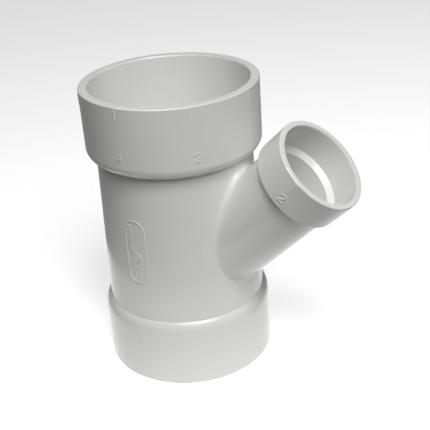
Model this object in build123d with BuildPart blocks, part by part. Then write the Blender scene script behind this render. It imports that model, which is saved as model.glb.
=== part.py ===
"""Reducing wye pipe fitting: a 4 inch run with a 2 inch branch at 45 degrees, all ends socket hubs.

Millimetres. +Z runs up the run axis, +X is the side the branch leaves from, and the origin is the
centre of the lower hub's mouth. The real fitting is one injection moulding, so the sub-parts here
are the regions a drawing names: hubs, shoulders with their pipe stops, the wye body and raised marks.
"""

from build123d import *
from math import cos, radians, sin, tan
import os

os.makedirs("parts", exist_ok=True)

# Run, for 4 inch pipe
TOTAL_HEIGHT = 216.5
HUB_R = 63.6
BARREL_FOOT_R = 59.3
BARREL_HEAD_R = 56.7
RUN_BORE_R = 51.1
RUN_SOCKET_R = 57.24
RUN_SOCKET_DEPTH = 44.45
RUN_STOP_CONE = 4.5
SHOULDER_INNER_ROUND = 0.5

# Run shoulders: where wall and shoulder would meet if sharp, the shoulder's height from there, its rounding
OUTLET_HUB_WALL = 48.0
OUTLET_SHOULDER = 4.1
OUTLET_SHOULDER_ROUND = 12.0
INLET_HUB_WALL = 47.5
INLET_SHOULDER = 4.0
INLET_SHOULDER_ROUND = 8.0

# Branch, for 2 inch pipe
BRANCH_ANGLE = 45.0
CROSSING_HEIGHT = 54.7
BRANCH_LENGTH = 165.1
BRANCH_HUB_R = 34.5
BRANCH_BARREL_R = 30.8
BRANCH_BORE_R = 26.2
BRANCH_SOCKET_R = 30.2
BRANCH_SOCKET_DEPTH = 23.1
BRANCH_STOP_CONE = 3.1
BRANCH_HUB_WALL = 24.0
BRANCH_STEP = 0.5
BRANCH_STEP_OUTER_ROUND = 0.5
BRANCH_STEP_INNER_ROUND = 0.3

# Details common to the sockets and the junction
LEAD_IN_DEPTH = 1.0
LEAD_IN_RADIAL = 0.5
RIM_ROUND = 0.7
JUNCTION_ROUND = 3.5
BARREL_STUB = 0.8
BODY_SPLIT_X = 43.0

# Raised marks, all on the side that faces -Y
MARK_RAISE = 0.35
STROKE = 0.7
NUMERAL_HEIGHT = 6.0
NUMERAL_WIDTH = 4.0
TICK_LENGTH = 8.0
TICK_WIDTH = 0.6
TICK_RIM_GAP = 1.6
SIZE_MARK_FROM_RIM = 35.5
SECOND_MARK_AZIMUTH = -41.0
BRANCH_TICK_LENGTH = 5.6
BRANCH_MARK_FROM_RIM = 16.5
LABEL_HEIGHT = 50.0
LABEL_WIDTH = 17.0
LABEL_CENTRE = 106.7
LABEL_LINE = 0.8
LABEL_DISC_R = 4.2
LABEL_DISC_DROP = 4.0
LABEL_RING_GAP = 0.9
LABEL_BAR_COUNT = 13
LABEL_BAR_LENGTH = 0.7
LABEL_BAR_WIDTH = 3.0
LABEL_BAR_PITCH = 1.6
LABEL_BAR_OFFSET = -4.2
LABEL_DOT_R = 0.6
LABEL_DOT_PITCH = 4.2

MARK_SIDE = -90.0
INLET_TICK_ANGLES = [MARK_SIDE + 45.0 * i for i in range(8)]
OUTLET_TICK_ANGLES = [MARK_SIDE + 90.0 * i for i in range(4)]

# Worked out from the driving dimensions
BRANCH_DIR = Vector(sin(radians(BRANCH_ANGLE)), 0, cos(radians(BRANCH_ANGLE)))
CROSSING = Vector(0, 0, CROSSING_HEIGHT)
BRANCH_MOUTH = CROSSING + BRANCH_DIR * BRANCH_LENGTH
CROTCH_S = (BARREL_FOOT_R + BRANCH_BARREL_R * cos(radians(BRANCH_ANGLE))) / sin(radians(BRANCH_ANGLE))
CROTCH_REACH = JUNCTION_ROUND / tan(radians(BRANCH_ANGLE / 2))
BODY_BRANCH_END = CROTCH_S + CROTCH_REACH + 2.0


class Socket:
    """One socket end: a frame at its mouth, x radial and y running into the fitting, and its sizes."""

    def __init__(self, mouth, inward, radial, hub_r, barrel_r, bore_r, socket_r, depth, stop_cone,
                 hub_wall, shoulder, outer_round, inner_round, end):
        self.plane = Plane(origin=mouth, x_dir=radial, z_dir=radial.cross(inward))
        self.axis = Axis(mouth, inward)
        self.stop_plane = Plane(origin=mouth + inward * depth, x_dir=radial, z_dir=inward)
        self.hub_r, self.barrel_r, self.bore_r, self.socket_r = hub_r, barrel_r, bore_r, socket_r
        self.depth, self.stop_cone = depth, stop_cone
        self.hub_wall, self.shoulder = hub_wall, shoulder
        self.outer_round, self.inner_round = outer_round, inner_round
        self.end = end


def round_corner(sketch, radius, x, y):
    """Round the sketch's corner nearest to x, y."""
    fillet(sketch.vertices().sort_by_distance(Vector(x, y, 0))[0], radius)


def socket_section(socket):
    """Half section of one end, from its mouth to where the plain barrel begins."""
    back = socket.hub_wall + socket.shoulder
    with BuildSketch(socket.plane) as section:
        with BuildLine():
            Polyline(
                (socket.hub_r, 0),
                (socket.hub_r, socket.hub_wall),
                (socket.barrel_r, back),
                (socket.barrel_r, socket.end),
                (socket.bore_r, socket.end),
                (socket.bore_r, socket.depth + socket.stop_cone),
                (socket.socket_r, socket.depth),
                (socket.socket_r, LEAD_IN_DEPTH),
                (socket.socket_r + LEAD_IN_RADIAL, 0),
                close=True,
            )
        make_face()
        round_corner(section, RIM_ROUND, socket.hub_r, 0)
        round_corner(section, socket.outer_round, socket.hub_r, socket.hub_wall)
        round_corner(section, socket.inner_round, socket.barrel_r, back)
    return section.sketch


def socket_end(socket, keep):
    """Keep.BOTTOM gives the hub down to its pipe stop, Keep.TOP the shoulder that carries the stop."""
    section = socket_section(socket)
    with BuildPart() as end:
        add(section)
        revolve(axis=socket.axis)
        split(bisect_by=socket.stop_plane, keep=keep)
    return end


def solid_end(socket):
    """Everything inside one end's outer surface, used to trim what meets it from outside."""
    section = socket_section(socket)
    with BuildPart() as filled:
        add(section)
        revolve(axis=socket.axis)
        with BuildSketch(Plane(origin=socket.plane.origin, x_dir=socket.plane.x_dir, z_dir=socket.axis.direction)):
            Circle(socket.socket_r + LEAD_IN_RADIAL)
        extrude(amount=socket.end)
    return filled


def wye_body(inlet, outlet, keep):
    """The run barrel with the branch growing out of it, rounded where the two meet.

    Keep.BOTTOM gives the run's share, Keep.TOP the branch's, either side of a plane past the bore.
    """
    trim = solid_end(inlet)
    barrel_top = TOTAL_HEIGHT - inlet.end
    with BuildPart() as body:
        with BuildSketch(Plane.XZ):
            with BuildLine():
                Polyline((0, outlet.end), (outlet.barrel_r, outlet.end), (inlet.barrel_r, barrel_top),
                         (0, barrel_top), close=True)
            make_face()
        revolve(axis=Axis.Z)
        with BuildSketch(Plane(origin=CROSSING, x_dir=(0, 1, 0), z_dir=BRANCH_DIR)):
            Circle(BRANCH_BARREL_R)
        extrude(amount=BODY_BRANCH_END)
        curved = body.edges().filter_by(GeomType.LINE, reverse=True)
        fillet(curved.filter_by(GeomType.CIRCLE, reverse=True), JUNCTION_ROUND)
        add(trim.part, mode=Mode.SUBTRACT)
        with BuildSketch(Plane.XY):
            Circle(RUN_BORE_R)
        extrude(amount=TOTAL_HEIGHT, mode=Mode.SUBTRACT)
        with BuildSketch(Plane(origin=CROSSING, x_dir=(0, 1, 0), z_dir=BRANCH_DIR)):
            Circle(BRANCH_BORE_R)
        extrude(amount=BRANCH_LENGTH, mode=Mode.SUBTRACT)
        split(bisect_by=Plane.YZ.offset(BODY_SPLIT_X), keep=keep)
    return body


def skin(plane, start, start_r, end, end_r):
    """A thin sleeve just outside a cylinder or cone about the plane's y, which shapes the raised marks."""
    with BuildPart() as sleeve:
        with BuildSketch(plane):
            with BuildLine():
                Polyline((start_r, start), (start_r + MARK_RAISE, start), (end_r + MARK_RAISE, end),
                         (end_r, end), close=True)
            make_face()
        revolve(axis=Axis(plane.origin, plane.y_dir))
    return sleeve


def facing(azimuth, height):
    """A plane on the run axis that looks outward at an azimuth, with y up."""
    outward = Vector(cos(radians(azimuth)), sin(radians(azimuth)), 0)
    sideways = Vector(-sin(radians(azimuth)), cos(radians(azimuth)), 0)
    return Plane(origin=(0, 0, height), x_dir=sideways, z_dir=outward)


def branch_facing(from_mouth):
    """A plane on the branch axis that looks towards -Y, with y towards the branch's mouth."""
    origin = BRANCH_MOUTH - BRANCH_DIR * from_mouth
    outward = Vector(0, -1, 0)
    return Plane(origin=origin, x_dir=BRANCH_DIR.cross(outward), z_dir=outward)


def numeral_four():
    """Strokes of a 4, centred on the sketch's origin."""
    half_w, half_h = NUMERAL_WIDTH / 2, NUMERAL_HEIGHT / 2
    bar = -half_h / 3
    with BuildLine() as strokes:
        Polyline((half_w, bar), (-half_w, bar), (half_w / 2, half_h), (half_w / 2, -half_h))
    return strokes.line


def numeral_two():
    """Strokes of a 2, centred on the sketch's origin."""
    half_w, half_h = NUMERAL_WIDTH / 2, NUMERAL_HEIGHT / 2
    bowl = half_h - half_w
    with BuildLine() as strokes:
        ThreePointArc((-half_w, bowl), (0, half_h), (half_w, bowl))
        Polyline((half_w, bowl), (-half_w, -half_h), (half_w, -half_h))
    return strokes.line


def raised(plane, outline, sleeve, radius):
    """Extrude an outline outward from an axis plane and keep what lies in the sleeve."""
    with BuildPart() as mark:
        with BuildSketch(plane.offset(radius - STROKE)):
            add(outline)
        extrude(amount=STROKE + LABEL_WIDTH / 2)
        add(sleeve.part, mode=Mode.INTERSECT)
    return mark


def stroked(line):
    """A stroke outline of the line, STROKE wide."""
    with BuildSketch() as outline:
        with BuildLine():
            add(line)
        trace(line_width=STROKE)
    return outline.sketch


def ticks(planes, length, sleeve, radius):
    """One short raised line on each plane, centred on its origin."""
    with BuildPart() as group:
        for plane in planes:
            with BuildSketch(plane.offset(radius - STROKE)):
                Rectangle(TICK_WIDTH, length)
            extrude(amount=2 * STROKE)
        add(sleeve.part, mode=Mode.INTERSECT)
    return group


def label_rim_outline():
    """A stadium-shaped outline that frames the label."""
    with BuildSketch() as outline:
        SlotOverall(LABEL_HEIGHT, LABEL_WIDTH, rotation=90)
        SlotOverall(LABEL_HEIGHT - 2 * LABEL_LINE, LABEL_WIDTH - 2 * LABEL_LINE, rotation=90,
                    mode=Mode.SUBTRACT)
    return outline.sketch


def label_disc_outline():
    """A plain round button inside a thin ring."""
    with BuildSketch() as outline:
        with Locations((0, -LABEL_DISC_DROP)):
            Circle(LABEL_DISC_R)
            Circle(LABEL_DISC_R - STROKE / 2, mode=Mode.SUBTRACT)
            Circle(LABEL_DISC_R - STROKE / 2 - LABEL_RING_GAP)
    return outline.sketch


def label_bar_outline():
    """A ladder of plain thin bars along one side of the label."""
    first = LABEL_HEIGHT / 2 - LABEL_WIDTH / 4
    with BuildSketch() as outline:
        for i in range(LABEL_BAR_COUNT):
            with Locations((LABEL_BAR_OFFSET, first - i * LABEL_BAR_PITCH)):
                Rectangle(LABEL_BAR_WIDTH, LABEL_BAR_LENGTH)
    return outline.sketch


def label_dot_outline():
    """Two short columns of dots near the label's foot."""
    with BuildSketch() as outline:
        with Locations((0, -LABEL_HEIGHT / 3)):
            with GridLocations(LABEL_DOT_PITCH, LABEL_DOT_PITCH, 2, 3):
                Circle(LABEL_DOT_R)
    return outline.sketch


def save(part, name):
    """Label a finished sub-part and write it to its own file."""
    part.part.label = name
    export_step(part.part, f"parts/{name}.step")


run_bore = (RUN_BORE_R, RUN_SOCKET_R, RUN_SOCKET_DEPTH, RUN_STOP_CONE)
outlet_sizes = (HUB_R, BARREL_FOOT_R, *run_bore, OUTLET_HUB_WALL, OUTLET_SHOULDER, OUTLET_SHOULDER_ROUND,
                SHOULDER_INNER_ROUND, OUTLET_HUB_WALL + OUTLET_SHOULDER + BARREL_STUB)
inlet_sizes = (HUB_R, BARREL_HEAD_R, *run_bore, INLET_HUB_WALL, INLET_SHOULDER, INLET_SHOULDER_ROUND,
               SHOULDER_INNER_ROUND, INLET_HUB_WALL + INLET_SHOULDER + BARREL_STUB)
branch_sizes = (BRANCH_HUB_R, BRANCH_BARREL_R, BRANCH_BORE_R, BRANCH_SOCKET_R, BRANCH_SOCKET_DEPTH,
                BRANCH_STOP_CONE, BRANCH_HUB_WALL, BRANCH_STEP, BRANCH_STEP_OUTER_ROUND,
                BRANCH_STEP_INNER_ROUND, BRANCH_LENGTH - BODY_BRANCH_END)
outlet = Socket(Vector(0, 0, 0), Vector(0, 0, 1), Vector(1, 0, 0), *outlet_sizes)
inlet = Socket(Vector(0, 0, TOTAL_HEIGHT), Vector(0, 0, -1), Vector(1, 0, 0), *inlet_sizes)
branch = Socket(BRANCH_MOUTH, -BRANCH_DIR, BRANCH_DIR.cross(Vector(0, 1, 0)), *branch_sizes)

for end_name, end_socket in (("outlet", outlet), ("inlet", inlet), ("branch", branch)):
    save(socket_end(end_socket, Keep.BOTTOM), f"{end_name}_hub")
    save(socket_end(end_socket, Keep.TOP), f"{end_name}_shoulder")
save(wye_body(inlet, outlet, Keep.BOTTOM), "run_barrel")
save(wye_body(inlet, outlet, Keep.TOP), "branch_barrel")

branch_side = Plane(origin=CROSSING, x_dir=BRANCH_DIR.cross(Vector(0, 1, 0)), z_dir=Vector(0, 1, 0))
hub_skin = skin(Plane.XZ, 0, HUB_R, TOTAL_HEIGHT, HUB_R)
barrel_skin = skin(Plane.XZ, outlet.end, BARREL_FOOT_R, TOTAL_HEIGHT - inlet.end, BARREL_HEAD_R)
branch_skin = skin(branch_side, 0, BRANCH_HUB_R, BRANCH_LENGTH, BRANCH_HUB_R)

inlet_mark_plane = facing(MARK_SIDE, TOTAL_HEIGHT - SIZE_MARK_FROM_RIM)
outlet_mark_plane = facing(MARK_SIDE, SIZE_MARK_FROM_RIM)
save(raised(inlet_mark_plane, stroked(numeral_four()), hub_skin, HUB_R), "inlet_size_mark")
save(raised(outlet_mark_plane, stroked(numeral_four()), hub_skin, HUB_R), "outlet_size_mark")
save(raised(branch_facing(BRANCH_MARK_FROM_RIM), stroked(numeral_two()), branch_skin, BRANCH_HUB_R),
     "branch_size_mark")
second_mark_plane = facing(SECOND_MARK_AZIMUTH, TOTAL_HEIGHT - SIZE_MARK_FROM_RIM)
save(raised(second_mark_plane, stroked(numeral_two()), hub_skin, HUB_R), "inlet_second_mark")

tick_middle = TICK_RIM_GAP + TICK_LENGTH / 2
inlet_tick_planes = [facing(angle, TOTAL_HEIGHT - tick_middle) for angle in INLET_TICK_ANGLES]
outlet_tick_planes = [facing(angle, tick_middle) for angle in OUTLET_TICK_ANGLES]
branch_tick_planes = [branch_facing(TICK_RIM_GAP + BRANCH_TICK_LENGTH / 2)]
save(ticks(inlet_tick_planes, TICK_LENGTH, hub_skin, HUB_R), "inlet_alignment_ticks")
save(ticks(outlet_tick_planes, TICK_LENGTH, hub_skin, HUB_R), "outlet_alignment_ticks")
save(ticks(branch_tick_planes, BRANCH_TICK_LENGTH, branch_skin, BRANCH_HUB_R), "branch_alignment_tick")

label_plane = facing(MARK_SIDE, LABEL_CENTRE)
for label_name, label_outline in (
    ("label_rim", label_rim_outline()),
    ("label_disc", label_disc_outline()),
    ("label_bars", label_bar_outline()),
    ("label_dots", label_dot_outline()),
):
    save(raised(label_plane, label_outline, barrel_skin, BARREL_HEAD_R), label_name)
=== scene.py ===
"""Reducing wye pipe fitting in white PVC, standing on a pale studio floor.

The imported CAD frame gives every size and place. Lengths are metres, +Z is up and +X is the branch side.
"""

import math

import bmesh
import bpy
from mathutils import Matrix, Vector


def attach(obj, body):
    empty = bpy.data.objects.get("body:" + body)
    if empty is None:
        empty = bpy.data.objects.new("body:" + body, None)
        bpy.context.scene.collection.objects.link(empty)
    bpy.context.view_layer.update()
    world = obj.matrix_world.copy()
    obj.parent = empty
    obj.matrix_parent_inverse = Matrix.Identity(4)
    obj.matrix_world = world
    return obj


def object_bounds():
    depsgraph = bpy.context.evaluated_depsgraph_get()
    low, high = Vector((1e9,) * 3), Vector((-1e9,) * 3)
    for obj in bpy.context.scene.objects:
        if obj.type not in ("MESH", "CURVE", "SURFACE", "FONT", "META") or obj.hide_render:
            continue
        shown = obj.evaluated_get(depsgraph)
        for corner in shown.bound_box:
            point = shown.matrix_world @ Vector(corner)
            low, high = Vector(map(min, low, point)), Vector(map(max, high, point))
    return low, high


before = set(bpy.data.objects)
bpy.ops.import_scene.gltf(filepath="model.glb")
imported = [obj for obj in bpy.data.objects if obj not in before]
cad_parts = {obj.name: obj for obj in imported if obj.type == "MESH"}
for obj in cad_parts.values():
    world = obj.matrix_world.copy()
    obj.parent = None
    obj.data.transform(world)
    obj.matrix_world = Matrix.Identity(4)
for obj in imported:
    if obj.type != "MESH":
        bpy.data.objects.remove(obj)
CAD_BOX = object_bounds()

MM = 0.001
SENSOR_WIDTH_MM = 36.0

# Camera, about the middle of the object
CAMERA_AZIMUTH = 33.32
CAMERA_ELEVATION = 27.0
CAMERA_ROLL = -4.12
CAMERA_DISTANCE = 615.2 * MM
CAMERA_LENS_MM = 70.12
CAMERA_CLIP_START = 0.01
AIM_OFFSET = Vector((-7.90, 0.0, 7.41)) * MM

# Floor
FLOOR_HALF = 6.0
FLOOR_GAP = 0.02 * MM
FLOOR_GLOW = 0.6
FLOOR_ROUGHNESS = 0.9
FLOOR_SPECULAR = 0.2
FIBRE_SCALE = 60.0
FIBRE_DETAIL = 4.0
PAPER_DARK = (0.9, 0.9, 0.9, 1)
PAPER_LIGHT = (0.92, 0.92, 0.92, 1)
WHITE = (1, 1, 1, 1)

# Moulded PVC. Texture scales are per metre; a band is the stretch of a noise that is spread over 0 to 1.
PVC_WHITE = (0.805, 0.805, 0.79)
PVC_IOR = 1.53
BODY_GLOSS = (0.17, 0.25)
MARK_GLOSS = (0.15, 0.22)
# The marks' white is painted a hundredth lighter than the body's, a faint painted highlight
MARK_PAINTED_HIGHLIGHT = 1.01
MARK_DIRT = 0.3
DRAW_STRETCH = 0.035
NOISE_MIDDLE = 0.5

CLOUD_SCALE = 22.0
CLOUD_BAND = (0.35, 0.65)
CLOUD_DARK = 0.985
CLOUD_LIGHT = 1.005
STREAK_SCALE = 110.0
STREAK_BAND = (0.40, 0.70)
STREAK_AMOUNT = 0.6
STREAK_SHADE = 0.975
SMUDGE_SCALE = 40.0
SMUDGE_BAND = (0.66, 0.80)
SMUDGE_AMOUNT = 0.4
SMUDGE_SHADE = 0.93

RUB_SCALE = 30.0
RUB_HALF_WIDTH = 0.003
RUB_PATCH_SCALE = 14.0
RUB_PATCH_BAND = (0.56, 0.64)
RUB_AMOUNT = 0.35
RUB_SHADE = 0.82
RUB_ROUGHNESS = 0.12

SPECK_COLOUR = (0.22, 0.20, 0.17)
SPECK_CORE = 0.6
DARK_SPECKS_PER_METRE = 62.0
DARK_SPECK_R = 0.30 * MM
DARK_SPECK_SHARE = 0.30
DARK_SPECK_AMOUNT = 0.6
FINE_SPECKS_PER_METRE = 150.0
FINE_SPECK_R = 0.13 * MM
FINE_SPECK_SHARE = 0.22
FINE_SPECK_AMOUNT = 0.5

GLOSS_SCALE = 130.0
GLOSS_BAND = (0.3, 0.7)
PEEL_SCALE = 420.0
PEEL_WEIGHT = 0.6
GRAIN_SCALE = 1500.0
GRAIN_WEIGHT = 0.25
STREAK_WEIGHT = 0.8
SKIN_STRENGTH = 0.25
SKIN_DEPTH = 0.02 * MM

# Nodes of the body, and those of them whose core draws along the branch
BRANCH_NODES = ("branch_barrel", "branch_shoulder", "branch_hub")
BODY_NODES = ("inlet_hub", "inlet_shoulder", "run_barrel", "outlet_shoulder", "outlet_hub", *BRANCH_NODES)

# The branch's axis
BRANCH_ANGLE = math.radians(45)
BRANCH_AXIS = Vector((math.sin(BRANCH_ANGLE), 0, math.cos(BRANCH_ANGLE)))
BRANCH_CROSSING = Vector((0, 0, 54.7)) * MM
BRANCH_LENGTH = 165.1 * MM

# Radii between the inside and the outside, for telling the outer skin. The hub's holds within the socket's
# reach of a mouth, where the bore is wider.
RUN_SKIN_R = 55.5 * MM
HUB_SKIN_R = 58.0 * MM
SOCKET_REACH = 49.5 * MM
BRANCH_SKIN_R = 30.5 * MM
CUT_TOLERANCE = 0.0005 * MM
WELD_DISTANCE = 0.01 * MM

# Parting line
RIM_MARGIN = 1.5 * MM
PARTING_WIDTH = 0.45 * MM
PARTING_HEIGHT = 0.09 * MM
PARTING_ROOT = 0.15 * MM
PARTING_FADE = 2.0 * MM
PARTING_STEPS = 6

# Soft boxes: name, azimuth from -Y towards +X, elevation, side of the square in metres, power in watts
SOFT_BOXES = [
    ("key_right", 60, 50, 0.5, 5.9),
    ("key_left", 30, 50, 0.5, 3.4),
    ("key_core", 45, 65, 0.25, 4.2),
    ("front_top", 0, 65, 0.7, 2.0),
    ("back_right", 135, 10, 0.6, 1.2),
]
SOFT_BOX_DISTANCE = 1.3

# The glow of a white table under the object, and the surround
GLOW_DROP = 2 * MM
FLOOR_GLOW_WIDTH = 0.4
FLOOR_GLOW_POWER = 0.39
SURROUND_SEEN = 0.95
SURROUND_MIRRORED = 0.35

low, high = CAD_BOX
MIDDLE = (low + high) / 2


def new_material(name):
    """A node material holding only a shader and its output, returned with its tree and the shader."""
    material = bpy.data.materials.new(name)
    material.use_nodes = True
    tree = material.node_tree
    tree.nodes.clear()
    output = tree.nodes.new("ShaderNodeOutputMaterial")
    shader = tree.nodes.new("ShaderNodeBsdfPrincipled")
    tree.links.new(shader.outputs["BSDF"], output.inputs["Surface"])
    return material, tree, shader


def add_node(tree, kind, **settings):
    """Add a node, setting its properties by name, and its inputs where no property has the name."""
    node = tree.nodes.new(kind)
    for key, value in settings.items():
        if hasattr(node, key):
            setattr(node, key, value)
        else:
            node.inputs[key].default_value = value
    return node


def grain_coordinates(tree, lean):
    """Object coordinates, and the same squeezed along the draw of the mould core, which leans from +Z."""
    place = add_node(tree, "ShaderNodeTexCoord")
    turned = add_node(tree, "ShaderNodeMapping", vector_type="POINT")
    turned.inputs["Rotation"].default_value = (0, -lean, 0)
    tree.links.new(place.outputs["Object"], turned.inputs["Vector"])
    squeezed = add_node(tree, "ShaderNodeMapping", vector_type="POINT")
    squeezed.inputs["Scale"].default_value = (1, 1, DRAW_STRETCH)
    tree.links.new(turned.outputs["Vector"], squeezed.inputs["Vector"])
    return place.outputs["Object"], squeezed.outputs["Vector"]


def noise(tree, vector, scale, detail=2.0):
    """A noise texture's value at a scale per metre."""
    node = add_node(tree, "ShaderNodeTexNoise", Scale=scale, Detail=detail)
    tree.links.new(vector, node.inputs["Vector"])
    return node.outputs["Fac"]


def remap(tree, value, low_in, high_in, low_out, high_out):
    """Map a value's range onto another, clamped."""
    node = add_node(tree, "ShaderNodeMapRange")
    ends = {"From Min": low_in, "From Max": high_in, "To Min": low_out, "To Max": high_out}
    for key, amount in ends.items():
        node.inputs[key].default_value = amount
    tree.links.new(value, node.inputs["Value"])
    return node.outputs["Result"]


def combine(tree, operation, first, second):
    """A math node on two values, either of which may be a number."""
    node = add_node(tree, "ShaderNodeMath", operation=operation)
    for index, value in enumerate((first, second)):
        if isinstance(value, (int, float)):
            node.inputs[index].default_value = value
        else:
            tree.links.new(value, node.inputs[index])
    return node.outputs["Value"]


def specks(tree, vector, per_metre, radius, share):
    """Sparse round specks: 1 inside a speck of about the radius, in a share of the cells."""
    cells = add_node(tree, "ShaderNodeTexVoronoi", Scale=per_metre)
    tree.links.new(vector, cells.inputs["Vector"])
    inside = remap(tree, cells.outputs["Distance"], radius * per_metre * SPECK_CORE, radius * per_metre, 1, 0)
    split = add_node(tree, "ShaderNodeSeparateColor")
    tree.links.new(cells.outputs["Color"], split.inputs["Color"])
    chosen = combine(tree, "LESS_THAN", split.outputs["Red"], share)
    return combine(tree, "MULTIPLY", inside, chosen)


def hairlines(tree, vector, per_metre, half_width, patch_scale):
    """Short thin rub marks: narrow contour lines of a noise, kept only in patches."""
    wave = noise(tree, vector, per_metre, 1.0)
    apart = combine(tree, "ABSOLUTE", combine(tree, "SUBTRACT", wave, NOISE_MIDDLE), 0)
    line = remap(tree, apart, 0, half_width, 1, 0)
    patch = remap(tree, noise(tree, vector, patch_scale), *RUB_PATCH_BAND, 0, 1)
    return combine(tree, "MULTIPLY", line, patch)


def mixed(tree, factor, under, over):
    """A colour over another by a factor; the one underneath may be a socket or a colour."""
    node = add_node(tree, "ShaderNodeMix", data_type="RGBA")
    tree.links.new(factor, node.inputs["Factor"])
    if isinstance(under, bpy.types.NodeSocket):
        tree.links.new(under, node.inputs["A"])
    else:
        node.inputs["A"].default_value = (*under, 1)
    node.inputs["B"].default_value = (*over, 1)
    return node.outputs["Result"]


def shade(colour, share):
    """A colour made darker or lighter by a share."""
    return tuple(channel * share for channel in colour)


def pvc_colour(tree, base, place, streaks, rubs, dirt):
    """White that is faintly clouded and streaked, then smudged, rubbed and specked."""
    clouds = remap(tree, noise(tree, place, CLOUD_SCALE, 3.0), *CLOUD_BAND, 0, 1)
    smudges = remap(tree, noise(tree, place, SMUDGE_SCALE, 4.0), *SMUDGE_BAND, 0, SMUDGE_AMOUNT * dirt)
    dark_specks = specks(tree, place, DARK_SPECKS_PER_METRE, DARK_SPECK_R, DARK_SPECK_SHARE * dirt)
    fine_specks = specks(tree, place, FINE_SPECKS_PER_METRE, FINE_SPECK_R, FINE_SPECK_SHARE * dirt)
    rubbed = combine(tree, "MULTIPLY", rubs, RUB_AMOUNT * dirt)

    colour = mixed(tree, clouds, shade(base, CLOUD_DARK), shade(base, CLOUD_LIGHT))
    streaked = remap(tree, streaks, *STREAK_BAND, 0, STREAK_AMOUNT)
    colour = mixed(tree, streaked, colour, shade(base, STREAK_SHADE))
    colour = mixed(tree, smudges, colour, shade(base, SMUDGE_SHADE))
    colour = mixed(tree, rubbed, colour, shade(base, RUB_SHADE))
    colour = mixed(tree, combine(tree, "MULTIPLY", fine_specks, FINE_SPECK_AMOUNT), colour, SPECK_COLOUR)
    return mixed(tree, combine(tree, "MULTIPLY", dark_specks, DARK_SPECK_AMOUNT), colour, SPECK_COLOUR)


def pvc_roughness(tree, drawn, rubs, gloss, dirt):
    """Satin that varies over a range, duller where the surface is rubbed."""
    satin = remap(tree, noise(tree, drawn, GLOSS_SCALE, 3.0), *GLOSS_BAND, *gloss)
    return combine(tree, "ADD", satin, combine(tree, "MULTIPLY", rubs, RUB_ROUGHNESS * dirt))


def pvc_normal(tree, place, streaks):
    """The skin's relief: a shallow peel, a finer grain and the streaks of drawing."""
    peel = combine(tree, "MULTIPLY", noise(tree, place, PEEL_SCALE, 1.0), PEEL_WEIGHT)
    grain = combine(tree, "MULTIPLY", noise(tree, place, GRAIN_SCALE, 2.0), GRAIN_WEIGHT)
    drawn_lines = combine(tree, "MULTIPLY", streaks, STREAK_WEIGHT)
    relief = combine(tree, "ADD", combine(tree, "ADD", peel, grain), drawn_lines)
    bump = add_node(tree, "ShaderNodeBump", Strength=SKIN_STRENGTH, Distance=SKIN_DEPTH)
    tree.links.new(relief, bump.inputs["Height"])
    return bump.outputs["Normal"]


def pvc_material(name, base, lean=0.0, gloss=BODY_GLOSS, dirt=1.0):
    """Moulded PVC: satin white, drawn along its core, with handling marks and a fine skin.

    lean is the core's angle from +Z, gloss the range of roughness, and dirt the share of marks and specks.
    """
    material, tree, shader = new_material(name)
    shader.inputs["IOR"].default_value = PVC_IOR
    place, drawn = grain_coordinates(tree, lean)
    streaks = noise(tree, drawn, STREAK_SCALE, 1.0)
    rubs = hairlines(tree, place, RUB_SCALE, RUB_HALF_WIDTH, RUB_PATCH_SCALE)
    tree.links.new(pvc_colour(tree, base, place, streaks, rubs, dirt), shader.inputs["Base Color"])
    tree.links.new(pvc_roughness(tree, drawn, rubs, gloss, dirt), shader.inputs["Roughness"])
    tree.links.new(pvc_normal(tree, place, streaks), shader.inputs["Normal"])
    return material


def direction(azimuth, elevation):
    """The unit vector at an azimuth from -Y towards +X and an elevation, both in radians."""
    level = math.cos(elevation)
    return Vector((math.sin(azimuth) * level, -math.cos(azimuth) * level, math.sin(elevation)))


def floor_material():
    """Plain pale studio paper with a faint fibre."""
    material, tree, shader = new_material("studio_paper")
    shader.inputs["Roughness"].default_value = FLOOR_ROUGHNESS
    shader.inputs["Specular IOR Level"].default_value = FLOOR_SPECULAR
    shader.inputs["Emission Color"].default_value = WHITE
    shader.inputs["Emission Strength"].default_value = FLOOR_GLOW
    place = add_node(tree, "ShaderNodeTexCoord")
    fibre = add_node(tree, "ShaderNodeTexNoise", Scale=FIBRE_SCALE, Detail=FIBRE_DETAIL)
    tree.links.new(place.outputs["Object"], fibre.inputs["Vector"])
    tint = add_node(tree, "ShaderNodeValToRGB")
    tint.color_ramp.elements[0].color = PAPER_DARK
    tint.color_ramp.elements[1].color = PAPER_LIGHT
    tree.links.new(fibre.outputs["Fac"], tint.inputs["Fac"])
    tree.links.new(tint.outputs["Color"], shader.inputs["Base Color"])
    return material


def make_floor():
    """A large plane just under the object."""
    mesh = bpy.data.meshes.new("studio_floor")
    h = FLOOR_HALF
    mesh.from_pydata([(-h, -h, 0), (h, -h, 0), (h, h, 0), (-h, h, 0)], [], [(0, 1, 2, 3)])
    floor = bpy.data.objects.new("studio_floor", mesh)
    bpy.context.scene.collection.objects.link(floor)
    floor.location.z = low.z - FLOOR_GAP
    floor.visible_diffuse = False
    floor.visible_glossy = False
    floor.visible_shadow = False
    mesh.materials.append(floor_material())


def camera_axes():
    """The camera's right, up and back directions, from its azimuth (-Y towards +X), elevation and roll."""
    azimuth, elevation, roll = (math.radians(a) for a in (CAMERA_AZIMUTH, CAMERA_ELEVATION, CAMERA_ROLL))
    back = direction(azimuth, elevation)
    level = Vector((math.cos(azimuth), math.sin(azimuth), 0))
    upright = back.cross(level)
    right = math.cos(roll) * level + math.sin(roll) * upright
    up = math.cos(roll) * upright - math.sin(roll) * level
    return right, up, back


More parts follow.
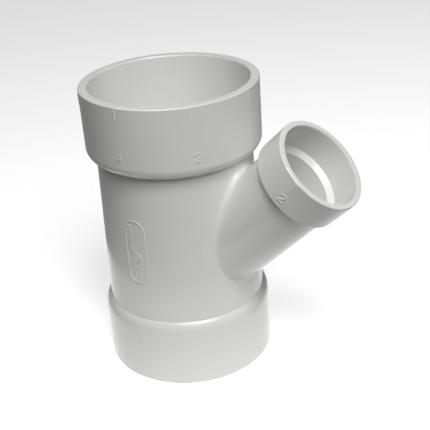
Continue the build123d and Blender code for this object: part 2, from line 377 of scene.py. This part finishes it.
def make_camera():
    """The scene's camera, aimed a little off the middle of the object."""
    right, up, back = camera_axes()
    camera_data = bpy.data.cameras.new("camera")
    camera_data.sensor_width = SENSOR_WIDTH_MM
    camera_data.lens = CAMERA_LENS_MM
    camera_data.clip_start = CAMERA_CLIP_START
    camera = bpy.data.objects.new("camera", camera_data)
    bpy.context.scene.collection.objects.link(camera)
    turn = Matrix((right, up, back)).transposed().to_4x4()
    camera.matrix_world = Matrix.Translation(MIDDLE + AIM_OFFSET + back * CAMERA_DISTANCE) @ turn
    bpy.context.scene.camera = camera


def on_outer_skin(point):
    """Whether a point of the section through both axes lies on the outside, clear of the rims."""
    along, away = branch_place(point)
    from_mouth = min(point.z - low.z, high.z - point.z)
    if from_mouth < RIM_MARGIN or along > BRANCH_LENGTH - RIM_MARGIN:
        return False
    least = HUB_SKIN_R if from_mouth < SOCKET_REACH else RUN_SKIN_R
    return abs(point.x) > least and (point.x < 0 or away > BRANCH_SKIN_R)


def branch_place(point):
    """A point's distance along the branch axis from where the axes cross, and its distance from that axis."""
    from_crossing = point - BRANCH_CROSSING
    along = from_crossing.dot(BRANCH_AXIS)
    return along, (from_crossing - along * BRANCH_AXIS).length


def outer_section():
    """The outline where the plane of both axes cuts the outside of the fitting, as a mesh of welded edges."""
    outline = bmesh.new()
    for name in BODY_NODES:
        cut = bmesh.new()
        cut.from_mesh(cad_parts[name].data)
        everything = cut.verts[:] + cut.edges[:] + cut.faces[:]
        found = bmesh.ops.bisect_plane(
            cut, geom=everything, dist=CUT_TOLERANCE, plane_co=(0, 0, 0), plane_no=(0, 1, 0))["geom_cut"]
        for edge in (item for item in found if isinstance(item, bmesh.types.BMEdge)):
            ends = [vertex.co.copy() for vertex in edge.verts]
            if all(on_outer_skin(end) for end in ends):
                outline.edges.new([outline.verts.new((end.x, 0, end.z)) for end in ends])
        cut.free()
    bmesh.ops.remove_doubles(outline, verts=outline.verts[:], dist=WELD_DISTANCE)
    return outline


def follow_run(vertex):
    """The vertices met by following edges from one end of a run to its other end."""
    chain = [vertex]
    used = set()
    while True:
        onward = [edge for edge in vertex.link_edges if edge not in used]
        if not onward:
            return chain
        used.add(onward[0])
        vertex = onward[0].other_vert(vertex)
        chain.append(vertex)


def runs_of_points(outline):
    """The outline's open runs, each a list of points that all turn the same way about the axes' crossing."""
    runs = []
    waiting = {vertex for vertex in outline.verts if len(vertex.link_edges) == 1}
    while waiting:
        chain = follow_run(min(waiting, key=lambda v: (v.co.x, v.co.z)))
        waiting -= {chain[0], chain[-1]}
        points = [vertex.co.copy() for vertex in chain]
        spokes = [point - BRANCH_CROSSING for point in points]
        turn = sum(a.cross(b).y for a, b in zip(spokes, spokes[1:]))
        runs.append(points if turn > 0 else points[::-1])
    return runs


def ridge_rings(points):
    """Rings of the raised line's section along one run, sinking into the surface at both ends."""
    lengths = [0.0]
    for a, b in zip(points, points[1:]):
        lengths.append(lengths[-1] + (b - a).length)
    rings = []
    for index, point in enumerate(points):
        before, after = points[max(index - 1, 0)], points[min(index + 1, len(points) - 1)]
        tangent = (after - before).normalized()
        outward = Vector((-tangent.z, 0, tangent.x))
        rise = min(1.0, min(lengths[index], lengths[-1] - lengths[index]) / PARTING_FADE)
        ring = [point + Vector((0, -PARTING_WIDTH / 2, 0)) - outward * PARTING_ROOT]
        for step in range(PARTING_STEPS + 1):
            across = step / PARTING_STEPS - 0.5
            height = PARTING_HEIGHT * rise * math.cos(math.pi * across) ** 2
            ring.append(point + Vector((0, across * PARTING_WIDTH, 0)) + outward * height)
        ring.append(point + Vector((0, PARTING_WIDTH / 2, 0)) - outward * PARTING_ROOT)
        rings.append(ring)
    return rings


def parting_mesh():
    """Closed solid ridges along every run of the outer section, as one mesh."""
    outline = outer_section()
    mesh = bmesh.new()
    for points in runs_of_points(outline):
        rings = [[mesh.verts.new(corner) for corner in ring] for ring in ridge_rings(points)]
        count = len(rings[0])
        for ring, following in zip(rings, rings[1:]):
            for i in range(count):
                j = (i + 1) % count
                mesh.faces.new((ring[i], ring[j], following[j], following[i]))
        mesh.faces.new(rings[0][::-1])
        mesh.faces.new(rings[-1])
    outline.free()
    bmesh.ops.recalc_face_normals(mesh, faces=mesh.faces[:])
    for face in mesh.faces:
        face.smooth = True
    return mesh


def make_parting_line(material):
    """The fine raised line where the two halves of the mould met, in the plane of both axes."""
    mesh = parting_mesh()
    data = bpy.data.meshes.new("parting_line")
    mesh.to_mesh(data)
    mesh.free()
    data.materials.append(material)
    line = bpy.data.objects.new("parting_line", data)
    bpy.context.scene.collection.objects.link(line)
    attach(line, "root")


def add_area_light(name, place, towards, side, power):
    """An area light at a place, shining away from the direction given, unseen by the camera itself."""
    light_data = bpy.data.lights.new(name, "AREA")
    light_data.size = side
    light_data.energy = power
    light = bpy.data.objects.new(name, light_data)
    bpy.context.scene.collection.objects.link(light)
    light.location = place
    light.rotation_euler = towards.to_track_quat("Z", "Y").to_euler()
    light.visible_camera = False
    return light


def make_lights():
    """Square soft boxes that face the object, and the glow that a white table sends up around its foot."""
    for name, azimuth, elevation, side, power in SOFT_BOXES:
        towards = direction(math.radians(azimuth), math.radians(elevation))
        add_area_light(name, MIDDLE + towards * SOFT_BOX_DISTANCE, towards, side, power)
    below = Vector((0, 0, low.z - GLOW_DROP))
    glow = add_area_light("table_glow", below, Vector((0, 0, -1)), FLOOR_GLOW_WIDTH, FLOOR_GLOW_POWER)
    glow.data.shape = "DISK"


def make_surround():
    """A pale surround: the camera sees it past the floor, and the object's gloss picks up a little of it."""
    world = bpy.data.worlds.new("surround")
    world.use_nodes = True
    tree = world.node_tree
    background = tree.nodes["Background"]
    background.inputs["Color"].default_value = WHITE
    path = add_node(tree, "ShaderNodeLightPath")
    seen = combine(tree, "MULTIPLY", path.outputs["Is Camera Ray"], SURROUND_SEEN)
    mirrored = combine(tree, "MULTIPLY", path.outputs["Is Glossy Ray"], SURROUND_MIRRORED)
    tree.links.new(combine(tree, "ADD", seen, mirrored), background.inputs["Strength"])
    bpy.context.scene.world = world


def dress_nodes(run_pvc, branch_pvc, mark_pvc):
    """Give each CAD node its PVC: the branch's is drawn along the branch, and the marks have their own,
    painted a little lighter as a highlight.
    """
    for name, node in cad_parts.items():
        if name in BRANCH_NODES:
            material = branch_pvc
        elif name in BODY_NODES:
            material = run_pvc
        else:
            material = mark_pvc
        for slot in node.material_slots:
            slot.material = material


make_camera()
make_floor()
make_lights()
make_surround()
bpy.context.scene.view_settings.view_transform = "Standard"

run_white = pvc_material("pvc_run_white", PVC_WHITE)
branch_white = pvc_material("pvc_branch_white", PVC_WHITE, lean=BRANCH_ANGLE)
# The marks and the parting line get a copy of the PVC painted a little lighter as a highlight, with a smaller
# share of dirt
mark_white = pvc_material("pvc_mark_white", shade(PVC_WHITE, MARK_PAINTED_HIGHLIGHT), gloss=MARK_GLOSS, dirt=MARK_DIRT)
dress_nodes(run_white, branch_white, mark_white)
make_parting_line(mark_white)
